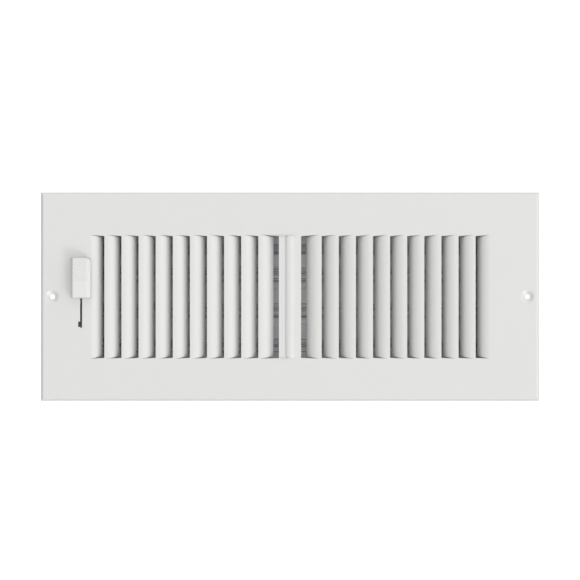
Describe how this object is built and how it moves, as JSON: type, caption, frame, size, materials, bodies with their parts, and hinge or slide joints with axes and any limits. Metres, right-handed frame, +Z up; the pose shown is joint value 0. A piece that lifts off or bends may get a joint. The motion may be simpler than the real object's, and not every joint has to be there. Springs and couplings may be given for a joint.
{
  "type": "louvred air grille",
  "caption": "Rectangular louvred wall register: pressed steel face with curved vertical blades, a damper of linked shutters behind it and a sliding control knob.",
  "frame": {"origin": "centre of the wall opening, in the plane that the back edge of the face plate's rim rests on", "axes": "+X along the grille with the control knob on the -X side, +Z up, +Y into the duct, louvred face towards -Y"},
  "size_m": [0.3492, 0.0508, 0.146],
  "materials": {
    "white_powder_coat": "smooth semi-gloss white powder coat",
    "galvanised_sheet": "bright galvanised sheet",
    "plated_pin_steel": "zinc plated",
    "white_plastic": "satin moulded plastic",
    "nylon": "natural nylon"
  },
  "bodies": {
    "root": {"face_plate": "white_powder_coat", "top_rail": "galvanised_sheet", "bottom_rail": "galvanised_sheet", "left_end_plate": "galvanised_sheet", "right_end_plate": "galvanised_sheet", "rivet_top_left_front": "plated_pin_steel", "rivet_top_left_rear": "plated_pin_steel", "rivet_bottom_left_front": "plated_pin_steel", "rivet_bottom_left_rear": "plated_pin_steel", "rivet_top_right_front": "plated_pin_steel", "rivet_top_right_rear": "plated_pin_steel", "rivet_bottom_right_front": "plated_pin_steel", "rivet_bottom_right_rear": "plated_pin_steel", "top_left_bushing": "nylon", "top_right_bushing": "nylon", "middle_left_bushing": "nylon", "middle_right_bushing": "nylon", "bottom_left_bushing": "nylon", "bottom_right_bushing": "nylon"},
    "top_shutter": {"top_shutter": "galvanised_sheet", "top_left_pivot_pin": "plated_pin_steel", "top_right_pivot_pin": "plated_pin_steel", "top_link_pin": "plated_pin_steel", "top_link_spacer": "nylon"},
    "middle_shutter": {"middle_shutter": "galvanised_sheet", "middle_left_pivot_pin": "plated_pin_steel", "middle_right_pivot_pin": "plated_pin_steel", "middle_link_pin": "plated_pin_steel", "middle_link_spacer": "nylon"},
    "bottom_shutter": {"bottom_shutter": "galvanised_sheet", "bottom_left_pivot_pin": "plated_pin_steel", "bottom_right_pivot_pin": "plated_pin_steel", "bottom_link_pin": "plated_pin_steel", "bottom_link_spacer": "nylon"},
    "control": {"control_bar": "galvanised_sheet", "knob": "white_plastic"}
  },
  "joints": [
    {"name": "middle_shutter_turn", "type": "hinge", "parent": "root", "child": "middle_shutter", "pos_m": [0, 0.01765, 0], "axis": [-1, 0, 0], "range_deg": [0, 82]},
    {"name": "top_shutter_turn", "type": "hinge", "parent": "root", "child": "top_shutter", "pos_m": [0, 0.01765, 0.0252], "axis": [-1, 0, 0], "range_deg": [0, 82]},
    {"name": "bottom_shutter_turn", "type": "hinge", "parent": "root", "child": "bottom_shutter", "pos_m": [0, 0.01765, -0.0252], "axis": [-1, 0, 0], "range_deg": [0, 82]},
    {"name": "control_bar_slide", "type": "slide", "parent": "root", "child": "control", "axis": [0, 0, -1], "range_m": [0, 0.0164]}
  ],
  "couplings": [
    {"joint": "top_shutter_turn", "follows": "middle_shutter_turn", "ratio": 1},
    {"joint": "bottom_shutter_turn", "follows": "middle_shutter_turn", "ratio": 1},
    {"joint": "control_bar_slide", "follows": "middle_shutter_turn", "m_per_rad": 0.011459}
  ]
}
